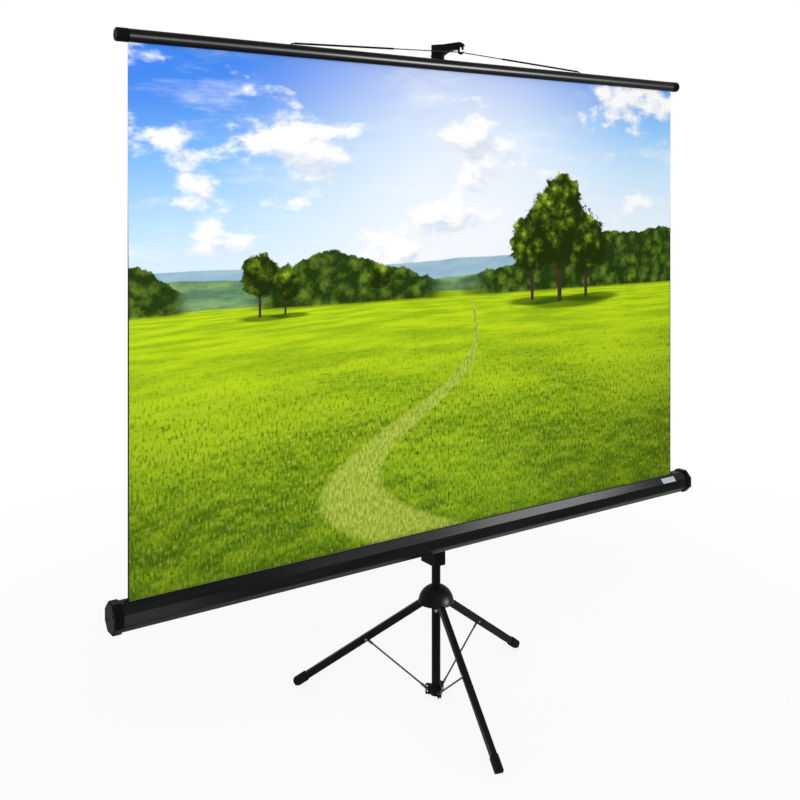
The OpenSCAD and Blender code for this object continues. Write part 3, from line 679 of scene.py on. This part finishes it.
    def trunk_and_shade(
        self, s: Shader, x: Value, y: Value, under: Value, crown: Point
    ) -> Value:
        """Returns under with one tree's trunk and the shade on the grass below it."""
        cx, cy, r = crown
        foot = self.horizon - 0.03 - r * 0.25
        across = ((x - cx - r * 0.25) / (r * 1.5)) ** 2.0
        down = ((y - foot) / (r * 0.17)) ** 2.0
        shade = 1.0 - (across + down).rise(0.35, 1.0)
        under = s.mix(shade * 0.72, under, (0.02, 0.06, 0.004))
        side = (x - cx).size()
        trunk = (1.0 - side.rise(r * 0.05, r * 0.08)) * (y - foot).rise(0.0, 0.004)
        trunk = trunk * (cy - y).rise(0.0, 0.01)
        return s.mix(trunk, under, (0.05, 0.035, 0.02))

    def cloth(
        self, s: Shader, place: Value, x: Value, y: Value, colour: Value
    ) -> bpy.types.Material:
        """Returns the material of the picture on its weave, with its borders."""
        side = x.least(self.wide - x)
        colour = s.mix(
            1.0 - (y - self.border).rise(-self.border_blur, self.border_blur),
            colour,
            (0.22, 0.25, 0.15),
        )
        band = side - (1.0 - y.rise(self.high * 0.45, self.high * 0.8)) * self.edge
        colour = s.mix(
            1.0 - band.rise(-self.edge_blur, self.edge_blur),
            colour,
            (0.012, 0.012, 0.014),
        )
        turn = 2 * math.pi / self.weave_pitch
        weave = (x * turn).sine() * (y * turn).sine()
        slub = s.noise(s.stretch(place, (900, 120, 1)), 1.0, 2, 0.5)
        return s.finish(
            Base_Color=colour,
            Roughness=slub * 0.08 + 0.80,
            Specular_IOR_Level=0.0,
            Normal=s.bump(weave * 0.6 + slub * 0.4, 0.00005, 0.5),
        )


class Paint(Enum):
    """The finishes of this screen."""

    POLE = Enamel("pole_enamel", (0.004, 0.004, 0.0045), 0.30, 900, (8, 8, 1), 0.04)
    LEG = Enamel("leg_enamel", (0.006, 0.006, 0.0064), 0.34, 800, (1, 1, 1), 0.045)
    CASE = Enamel("case_enamel", (0.0075, 0.008, 0.0085), 0.26, 600, (0.4, 6, 6), 0.02)
    BAR = Enamel("bar_enamel", (0.003, 0.003, 0.0034), 0.34, 900, (0.4, 6, 6), 0.05)
    DOME = Moulded("dome_moulding", (0.005, 0.005, 0.006), 0.40, 1800, 0.030)
    PLASTIC = Moulded("black_moulding", (0.004, 0.004, 0.0044), 0.46, 2200, 0.030)
    CAP = Moulded("cap_moulding", (0.0035, 0.0035, 0.0038), 0.40, 1500, 0.020)
    BRIGHT = Steel("zinc_plated", (0.20, 0.20, 0.205))
    SCREW = Steel("screw_steel", (0.42, 0.42, 0.43), 0.36)
    BLACKENED = Steel("blackened_steel", (0.012, 0.012, 0.0125), 0.40)
    STRUT = Enamel("strut_coat", (0.060, 0.060, 0.062), 0.42, 900, (1, 1, 1), 0.25)
    WIRE = Enamel("wire_coat", (0.020, 0.020, 0.021), 0.36, 900, (30, 1, 1), 0.04)
    ROLLER = Steel("roller_metal", (0.55, 0.56, 0.58), 0.34, (0.3, 20, 20))
    RUBBER = Rubber("black_rubber")
    PLATE = Plate("bare_plate")
    BACK = Cloth("fabric_back")
    FRONT = Picture("fabric_picture")

    def material(self) -> bpy.types.Material:
        """Returns this finish's material."""
        return self.value.material()


class Edge:
    """Widths of the worn edges of pieces, in metres."""

    FINE = 0.0003
    THIN = 0.0004
    PLUG = 0.0005
    SOFT = 0.0006
    FOOT = 0.0008
    CAP = 0.0009
    CASE = 0.0012


# Meshes


@dataclass
class Skin:
    """Points and faces of a piece while it is built."""

    points: list[Point] = field(default_factory=list)
    faces: list[tuple[int, ...]] = field(default_factory=list)
    looks: list[int] = field(default_factory=list)
    places: list[tuple[tuple[float, float], ...]] = field(default_factory=list)

    def face(
        self,
        corners: Sequence[int],
        look: int = 0,
        places: Sequence[tuple[float, float]] | None = None,
    ) -> None:
        """Adds a face with the number of its finish and its corners' UV places."""
        self.faces.append(tuple(corners))
        self.looks.append(look)
        self.places.append(tuple(places or [(0.0, 0.0)] * len(corners)))

    def ring(self, points: Iterable[Point]) -> list[int]:
        """Adds a ring of points and returns their numbers."""
        start = len(self.points)
        self.points.extend(points)
        return list(range(start, len(self.points)))

    def bridge(
        self, first: Sequence[int], second: Sequence[int], look: int = 0
    ) -> None:
        """Joins two closed rings of equal length with faces."""
        count = len(first)
        for k in range(count):
            after = (k + 1) % count
            self.face((first[k], first[after], second[after], second[k]), look)

    def tube(self, rings: Sequence[Sequence[int]]) -> None:
        """Joins rings one after another and closes both ends."""
        for first, second in zip(rings, rings[1:]):
            self.bridge(first, second)
        self.face(rings[0][::-1])
        self.face(rings[-1])

    def build(
        self, name: str, paints: Sequence[Paint], smooth: bool = True
    ) -> bpy.types.Object:
        """Makes the piece.

        Args:
            name: The piece's name.
            paints: Its finishes, in the order of the faces' numbers.
            smooth: Whether its faces are shaded smooth.

        Returns:
            The new object.
        """
        mesh = bpy.data.meshes.new(name)
        mesh.from_pydata(self.points, [], self.faces)
        layer = mesh.uv_layers.new(name="UVMap")
        for polygon, look, places in zip(mesh.polygons, self.looks, self.places):
            polygon.material_index = look
            polygon.use_smooth = smooth
            for loop, uv in zip(polygon.loop_indices, places):
                layer.data[loop].uv = uv
        for paint in paints:
            mesh.materials.append(paint.material())
        mesh.validate()
        made = bpy.data.objects.new(name, mesh)
        bpy.context.scene.collection.objects.link(made)
        return made


@dataclass
class SubAssembly:
    """Pieces that are built and finished together."""

    weld: ClassVar[float] = 1e-6
    edge_angle: ClassVar[float] = 35.0
    pieces: list[str] = field(default_factory=list, init=False)

    def dress(self, paint: Paint, *nodes: str, edge: float = 0.0) -> None:
        """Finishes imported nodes.

        Args:
            paint: The finish.
            nodes: The nodes' names.
            edge: The width of the worn edges, or 0 for sharp ones.
        """
        for name in nodes:
            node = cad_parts[name]
            node.data.materials.clear()
            node.data.materials.append(paint.material())
            for polygon in node.data.polygons:
                polygon.material_index = 0
            if edge:
                weld = node.modifiers.new("Weld", "WELD")
                weld.merge_threshold = self.weld
                bevel = node.modifiers.new("Edge", "BEVEL")
                bevel.width = edge
                bevel.segments = 2
                bevel.limit_method = "ANGLE"
                bevel.angle_limit = math.radians(self.edge_angle)
                bevel.harden_normals = False
            self.pieces.append(name)

    def add(
        self, made: bpy.types.Object, body: str, slot: str, *stands_for: str
    ) -> bpy.types.Object:
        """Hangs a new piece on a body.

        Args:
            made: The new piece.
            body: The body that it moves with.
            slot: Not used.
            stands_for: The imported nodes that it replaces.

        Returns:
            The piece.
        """
        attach(made, body)
        if stands_for:
            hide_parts(*stands_for)
        self.pieces.append(made.name)
        return made

    def build(self) -> None:
        """Builds and finishes the pieces."""
        raise NotImplementedError


@dataclass(frozen=True)
class Lamp:
    """A soft rectangular lamp.

    Attributes:
        name: The lamp's name.
        at: Where it hangs.
        target: The point that it faces.
        power: Its power in watts.
        size: Its width and height.
        node: The one node whose gloss shows it as a streak, or none for a lamp that
            lights everything.
    """

    name: str
    at: Point
    target: Point
    power: float
    size: tuple[float, float]
    node: str = ""

    def build(self) -> None:
        """Hangs the lamp."""
        data = bpy.data.lights.new(self.name, "AREA")
        data.shape = "RECTANGLE"
        data.size, data.size_y = self.size
        data.energy = self.power
        made = bpy.data.objects.new(self.name, data)
        made.location = self.at
        aim = Vector(self.target) - Vector(self.at)
        made.rotation_euler = aim.to_track_quat("-Z", "Y").to_euler()
        bpy.context.scene.collection.objects.link(made)
        if self.node:
            made.visible_diffuse = made.visible_camera = False
            lit = bpy.data.collections.new(self.name)
            lit.objects.link(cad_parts[self.node])
            made.light_linking.receiver_collection = lit


@dataclass
class Stage:
    """The camera, the floor, the world and the lamps."""

    eye: Point = (-1.695, -2.263, 1.406)
    turn: float = 34.77
    lens: float = 45.0
    sensor: float = 36.0
    shift: float = -0.25225
    nearest: float = 0.05
    ambient: float = 0.82
    lamps: tuple[Lamp, ...] = (
        Lamp("key_light", (-2.6, -3.4, 3.4), (0.1, 0, 0.9), 60, (2.4, 2.4)),
        Lamp("case_card", (1.38, -0.48, 1.6), (1.38, -0.48, 0), 115, (0.85, 0.5), CASE),
        Lamp("case_glow", (0.55, -0.48, 1.6), (0.55, -0.48, 0), 14, (0.85, 0.5), CASE),
        Lamp("end_card", (-0.62, -0.9, 0.14), (-0.62, 0, 0.42), 6.5, (0.45, 0.3), CASE),
        Lamp("bar_card", (2.35, -3.3, 1.2), (2.35, 0, 1.2), 1900, (0.9, 1.3), BAR),
        Lamp("bar_glow", (0.2, -3.3, 1.2), (0.2, 0, 1.2), 340, (1.0, 1.3), BAR),
        Lamp("dome_card", (1.7, -2.4, 0.5), (0, 0, 0.33), 700, (0.6, 0.5), "hub_dome"),
    )
    floor_size: float = 60.0
    shadow: tuple[float, float] = (1.0, 3.2)
    white: float = 0.85

    def build(self) -> None:
        """Builds the stage."""
        pole = middle("lower_tube")
        data = bpy.data.cameras.new("camera")
        data.sensor_width = self.sensor
        data.lens = self.lens
        data.shift_y = self.shift
        data.clip_start = self.nearest
        camera = bpy.data.objects.new("camera", data)
        camera.location = Vector(self.eye) + Vector((pole.x, pole.y, 0))
        camera.rotation_euler = (math.radians(90), 0, -math.radians(self.turn))
        bpy.context.scene.collection.objects.link(camera)
        bpy.context.scene.camera = camera
        self.world()
        self.floor()
        for lamp in self.lamps:
            lamp.build()
        bpy.context.scene.view_settings.view_transform = "Standard"

    def seen(self, tree: bpy.types.NodeTree) -> bpy.types.NodeSocket:
        """Returns a value that is 1 for rays from the eye, a mirror or clear glass."""
        path = tree.nodes.new("ShaderNodeLightPath")
        total = path.outputs["Is Camera Ray"]
        for name in ("Is Glossy Ray", "Is Transmission Ray"):
            add = tree.nodes.new("ShaderNodeMath")
            add.operation = "MAXIMUM"
            tree.links.new(total, add.inputs[0])
            tree.links.new(path.outputs[name], add.inputs[1])
            total = add.outputs[0]
        return total

    def world(self) -> None:
        """Makes a world that looks white and gives a soft even light."""
        world = bpy.data.worlds.new("studio")
        bpy.context.scene.world = world
        world.use_nodes = True
        tree = world.node_tree
        tree.nodes.clear()
        both = tree.nodes.new("ShaderNodeMixShader")
        tree.links.new(self.seen(tree), both.inputs[0])
        for socket, strength in ((1, self.ambient), (2, 1.0)):
            white = tree.nodes.new("ShaderNodeBackground")
            white.inputs["Color"].default_value = (1, 1, 1, 1)
            white.inputs["Strength"].default_value = strength
            tree.links.new(white.outputs[0], both.inputs[socket])
        out = tree.nodes.new("ShaderNodeOutputWorld")
        tree.links.new(both.outputs[0], out.inputs["Surface"])

    def floor(self) -> None:
        """Makes the floor, which looks white and keeps a soft shadow."""
        half = self.floor_size / 2
        skin = Skin()
        corners = skin.ring(
            [(-half, -half, 0), (half, -half, 0), (half, half, 0), (-half, half, 0)]
        )
        skin.face(corners)
        shader = Shader("studio_floor")
        diffuse = shader.node("ShaderNodeBsdfDiffuse", inputs={0: (0.9, 0.9, 0.9)})
        glow = shader.node("ShaderNodeEmission", inputs={0: (1.0, 1.0, 1.0)})
        seen = Value(shader, self.seen(shader.tree))
        away = shader.gap(shader.place(), (0.0, 0.0, 0.0))
        share = away.rise(*self.shadow) * (1.0 - self.white) + self.white
        mixed = shader.node(
            "ShaderNodeMixShader", inputs={0: seen * share, 1: diffuse, 2: glow}
        )
        shader.node("ShaderNodeOutputMaterial", inputs={"Surface": mixed})
        mesh = bpy.data.meshes.new("floor")
        mesh.from_pydata(skin.points, [], skin.faces)
        mesh.materials.append(shader.material)
        made = bpy.data.objects.new("floor", mesh)
        bpy.context.scene.collection.objects.link(made)
        made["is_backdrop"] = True


@dataclass
class Pole(SubAssembly):
    """The lower tube with its plug, collar and clamp."""

    def build(self) -> None:
        """Finishes the pole's nodes."""
        self.dress(Paint.POLE, "lower_tube")
        self.dress(Paint.POLE, "strut_collar", "mast_clamp", edge=Edge.THIN)
        self.dress(Paint.PLASTIC, "tube_plug", edge=Edge.PLUG)
        self.dress(Paint.BRIGHT, "stop_rivet", "collar_screw", edge=Edge.THIN)
        self.dress(Paint.PLASTIC, "clamp_knob", edge=Edge.SOFT)
        self.dress(Paint.SCREW, "clamp_knob_screw")


@dataclass
class Tripod(SubAssembly):
    """The hub with its dome, the legs, their feet and the struts."""

    sides: tuple[str, ...] = ("right", "left", "front")

    def build(self) -> None:
        """Finishes the tripod's nodes."""
        self.dress(Paint.PLASTIC, "leg_hub", edge=Edge.THIN)
        self.dress(Paint.DOME, "hub_dome")
        self.dress(Paint.SCREW, "dome_screws", "leg_pins", edge=Edge.FINE)
        for side in self.sides:
            self.dress(Paint.LEG, f"leg_{side}", edge=Edge.FINE)
            self.dress(Paint.RUBBER, f"foot_{side}", edge=Edge.FOOT)
            self.dress(Paint.BRIGHT, f"rivet_{side}", edge=Edge.THIN)
            self.dress(Paint.STRUT, f"collar_pin_{side}", edge=Edge.THIN)
            self.dress(Paint.STRUT, f"strut_{side}", edge=Edge.FINE)


@dataclass
class Carriage(SubAssembly):
    """The carriage that clamps the case to the pole."""

    def build(self) -> None:
        """Finishes the carriage's nodes."""
        self.dress(Paint.PLASTIC, "carriage_body", "carriage_knob", edge=Edge.SOFT)
        self.dress(Paint.CASE, "case_saddle", edge=Edge.THIN)
        self.dress(Paint.SCREW, "pivot_washer", "pivot_screw", "carriage_knob_screw")


@dataclass
class Case(SubAssembly):
    """The octagonal case with its caps and plate."""

    def build(self) -> None:
        """Finishes the case's nodes."""
        self.dress(Paint.CASE, CASE, edge=Edge.CASE)
        self.dress(Paint.CAP, "end_cap_left", "end_cap_right", edge=Edge.CAP)
        self.dress(Paint.BLACKENED, "cap_screws_left", "cap_screws_right", edge=Edge.FINE)
        self.dress(Paint.PLATE, "name_plate", edge=Edge.FINE)


@dataclass
class Mast(SubAssembly):
    """The mast with its head, and the top bar that hangs on it."""

    def build(self) -> None:
        """Finishes the nodes of the mast and the bar."""
        self.dress(Paint.POLE, "mast_tube")
        self.dress(Paint.PLASTIC, "mast_bush")
        self.dress(Paint.PLASTIC, "mast_head", edge=Edge.SOFT)
        self.dress(Paint.SCREW, "head_screw", edge=Edge.FINE)
        self.dress(Paint.BAR, BAR)
        self.dress(Paint.CAP, "bar_cap_left", "bar_cap_right")
        self.dress(Paint.ROLLER, "bar_spline")
        self.dress(Paint.PLASTIC, "bail_anchors", edge=Edge.THIN)
        self.dress(Paint.WIRE, "bail_wire")
        self.dress(Paint.RUBBER, "bail_sleeves")


@dataclass
class Roller(SubAssembly):
    """The roller with the fabric that is wound on it, its shaft and spring."""

    turns: int = 6
    steps: int = 40
    cloth: float = 0.0003
    clearance: float = 0.0001
    coils: int = 60
    coil_wire: float = 0.0022
    coil_sides: int = 6
    coil_steps: int = 20

    def build(self) -> None:
        """Finishes the roller's nodes, and winds the fabric and the spring."""
        self.dress(Paint.ROLLER, "roller_tube")
        self.dress(Paint.PLASTIC, "roller_plug_left", "roller_plug_right", edge=Edge.THIN)
        self.dress(Paint.SCREW, "spring_shaft")
        self.wind_fabric()
        self.wind_spring()

    def wind_fabric(self) -> None:
        """Winds the fabric on the roller as a spiral."""
        low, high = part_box("wound_fabric")
        axis = middle("wound_fabric")
        tube_low, tube_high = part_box("roller_tube")
        start = (tube_high.z - tube_low.z) / 2 + self.clearance
        outer = (high.z - low.z) / 2
        count = self.turns * self.steps
        rise = (outer - start - self.cloth) / count
        skin = Skin()
        rings = []
        for i in range(count + 1):
            angle = 2 * math.pi * i / self.steps
            radius = start + rise * i
            near, far = (
                (axis.y - out * math.cos(angle), axis.z + out * math.sin(angle))
                for out in (radius, radius + self.cloth)
            )
            corners = ((low.x, near), (high.x, near), (high.x, far), (low.x, far))
            rings.append(skin.ring([(x, *place) for x, place in corners]))
        skin.tube(rings)
        roll = skin.build("fabric_roll", [Paint.BACK])
        made = self.add(roll, "roller", "wound_cloth", "wound_fabric")
        length = sum(
            2 * math.pi / self.steps * (start + rise * (i + 0.5)) for i in range(count)
        )

    def wind_spring(self) -> None:
        """Winds the torsion spring round its shaft."""
        low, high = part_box("torsion_spring")
        axis = middle("torsion_spring")
        outer = (high.z - low.z) / 2
        radius = outer - self.coil_wire / 2
        count = self.coils * self.coil_steps
        length = high.x - low.x - self.coil_wire
        skin = Skin()
        rings = []
        for i in range(count + 1):
            angle = 2 * math.pi * i / self.coil_steps
            x = low.x + self.coil_wire / 2 + length * i / count
            ring = []
            for k in range(self.coil_sides):
                round_it = 2 * math.pi * k / self.coil_sides
                out = radius + self.coil_wire / 2 * math.cos(round_it)
                ring.append(
                    (
                        x + self.coil_wire / 2 * math.sin(round_it),
                        axis.y + out * math.cos(angle),
                        axis.z + out * math.sin(angle),
                    )
                )
            rings.append(skin.ring(ring))
        skin.tube(rings)
        spring = skin.build("spring_coils", [Paint.SCREW])
        self.add(spring, "carriage", "bright_steel", "torsion_spring")


@dataclass
class Fabric(SubAssembly):
    """The fabric between the roll and the top bar.

    It is in bands, each of which moves with one body. Where the real
    fabric winds onto the roller as it slides, these bands keep their length.
    """

    thick: float = 0.0005
    bend_drop: float = 0.005
    picture_low: float = 0.003
    picture_high: float = 0.002
    lead_lift: float = 0.0002
    columns: int = 12
    lower: float = 0.42
    carriage_travel: float = 0.40
    hub_band: float = 0.16
    hub_travel: float = 0.15
    mast_travel: float = 0.65
    rows: int = 8

    def build(self) -> None:
        """Builds the fabric's bands."""
        low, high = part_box("screen_fabric")
        _, case_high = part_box(CASE)
        front = low.y
        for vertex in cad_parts["screen_fabric"].data.vertices:
            if vertex.co.z > high.z - 1e-4:
                front = max(front, vertex.co.y)
        y = front - self.thick / 2
        bend = case_high.z - self.bend_drop
        bar_low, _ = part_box(BAR)
        picture = Picture("fabric_picture")
        base = case_high.z - self.picture_low
        top = bar_low.z + self.picture_high
        heights = [bend, bend + self.lower, bend + self.lower + self.hub_band, high.z]
        scale = picture.high / (top - base)

        def uv(x: float, z: float) -> tuple[float, float]:
            """Returns a point's place on the picture."""
            return (x - low.x, (z - base) * scale)

        lead = [(low.y + self.thick / 2, low.z + self.lead_lift), (y, bend)]
        rows = [
            ("fabric_lead", lead, "carriage"),
            ("fabric_lower", self.rise(y, heights[0], heights[1]), "carriage"),
            ("fabric_middle", self.rise(y, heights[1], heights[2]), "hub"),
            ("fabric_upper", self.rise(y, heights[2], heights[3]), "mast"),
        ]
        log.info("fabric from z %.4f to z %.4f", low.z, high.z)
        pieces = {}
        for name, path, body in rows:
            made = self.band(name, low.x, high.x, path, uv)
            stands_for = ("screen_fabric",) if name == "fabric_upper" else ()
            pieces[name] = self.add(made, body, "fabric", *stands_for)
            length = math.dist(path[0], path[-1])
        lower, hub_band, upper = self.lower, self.hub_band, heights[3] - heights[2]
        winds = (
            ("fabric_lower", "carriage_slide", self.carriage_travel, lower, heights[0]),
            ("fabric_middle", "hub_slide", self.hub_travel, hub_band, heights[1]),
            ("fabric_upper", "mast_slide", self.mast_travel, upper, heights[3]),
        )
        for name, joint, travel, length, end in winds:
            keep = 1.0 - travel / length
            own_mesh(pieces[name])

    def rise(self, y: float, low: float, high: float) -> list[tuple[float, float]]:
        """Returns the path of an upright band as points of y and z."""
        return [(y, low + (high - low) * i / self.rows) for i in range(self.rows + 1)]

    def band(
        self,
        name: str,
        x0: float,
        x1: float,
        path: Sequence[tuple[float, float]],
        uv: Callable[[float, float], tuple[float, float]],
    ) -> bpy.types.Object:
        """Builds one band as a thin closed sheet.

        Args:
            name: The piece's name.
            x0: Its left edge.
            x1: Its right edge.
            path: Its middle line as points of y and z, from its lower end.
            uv: The picture's place for a point of x and z.

        Returns:
            The new piece.
        """
        skin = Skin()
        half = self.thick / 2
        count = self.columns
        xs = [x0 + (x1 - x0) * i / count for i in range(count + 1)]
        fronts, backs = [], []
        for y, z in path:
            fronts.append(skin.ring([(x, y - half, z) for x in xs]))
            backs.append(skin.ring([(x, y + half, z) for x in xs]))
        levels = zip(path, path[1:], fronts, fronts[1:], backs, backs[1:])
        for (_, z0), (_, z1), front, front_up, back, back_up in levels:
            for k, (left, right) in enumerate(zip(xs, xs[1:])):
                corners = (front[k], front[k + 1], front_up[k + 1], front_up[k])
                ends = ((left, z0), (right, z0), (right, z1), (left, z1))
                places = [uv(x, z) for x, z in ends]
                skin.face(corners, 0, places)
                skin.face((back[k + 1], back[k], back_up[k], back_up[k + 1]), 1)
            skin.face((back[0], front[0], front_up[0], back_up[0]), 1)
            skin.face((front[-1], back[-1], back_up[-1], front_up[-1]), 1)
        for first, second in ((backs[0], fronts[0]), (fronts[-1], backs[-1])):
            for k in range(count):
                skin.face((first[k], first[k + 1], second[k + 1], second[k]), 1)
        return skin.build(name, [Paint.FRONT, Paint.BACK], smooth=False)


def write_sizes() -> None:
    """Works out the box of the solids and of the finished model."""
    boxes = {"cad": cad_box, "visual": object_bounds()}
    lists = {name: [list(end) for end in box] for name, box in boxes.items()}


def main() -> None:
    """Builds the stage and the sub-assemblies in order."""
    Stage().build()
    for made in (Fabric(), Roller(), Case(), Carriage(), Pole(), Tripod(), Mast()):
        made.build()
        for name in made.pieces:
            log.info("%s: %s", type(made).__name__, name)
    write_sizes()


if __name__ == "__main__":
    main()
